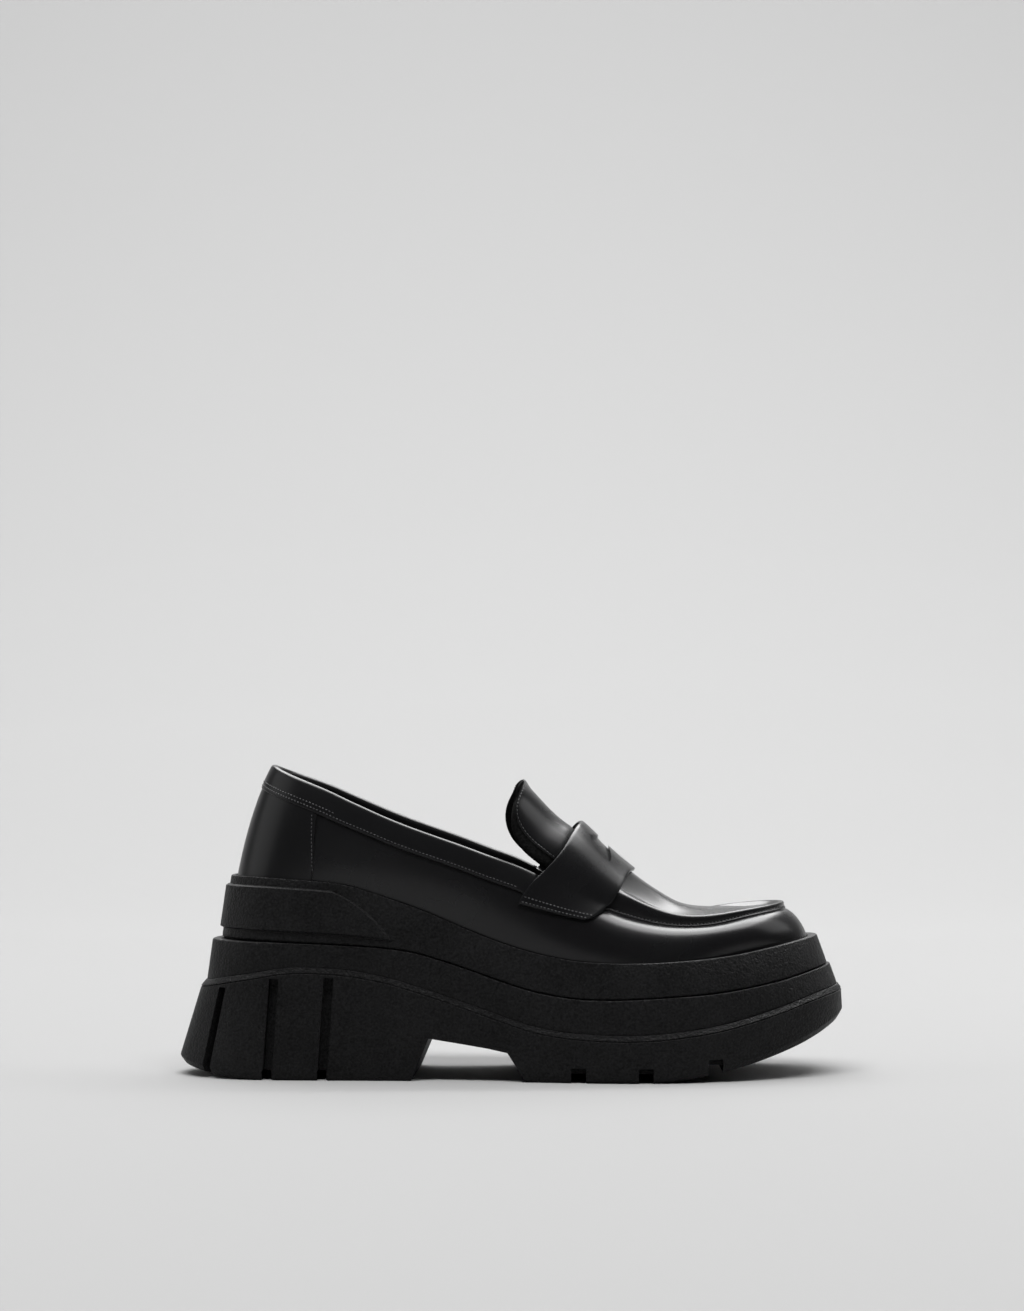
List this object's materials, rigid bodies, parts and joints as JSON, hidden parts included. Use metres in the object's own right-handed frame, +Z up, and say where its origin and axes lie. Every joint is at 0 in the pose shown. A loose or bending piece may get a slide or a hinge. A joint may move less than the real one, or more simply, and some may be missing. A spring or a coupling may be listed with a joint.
{
  "type": "chunky lug sole loafer",
  "caption": "Right penny loafer in polished leather on a tall two-tier rubber sole with a block heel, an arch, toe spring and lugs.",
  "frame": {"origin": "on the floor under the middle of the shoe's length and width", "axes": "+X to the toe, +Y to the inner (medial) side of a right foot, +Z up"},
  "size_m": [0.2878, 0.1025, 0.134],
  "materials": {
    "sole_rubber": "matte black moulded rubber with a fine grain",
    "midsole_rubber": "matte black moulded rubber with a fine grain",
    "insole_lining": "dull black lining leather",
    "upper_leather": "polished smooth black leather",
    "collar_leather": "polished smooth black leather, stitched",
    "counter_leather": "polished smooth black leather, stitched",
    "strap_leather": "polished smooth black leather, stitched",
    "tongue_leather": "polished smooth black leather with a dull textile lining"
  },
  "bodies": {
    "root": {"outsole": "sole_rubber", "midsole": "midsole_rubber", "insole": "insole_lining", "upper": "upper_leather", "collar_band": "collar_leather", "heel_counter": "counter_leather", "saddle_strap": "strap_leather", "tongue": "tongue_leather"}
  },
  "joints": []
}
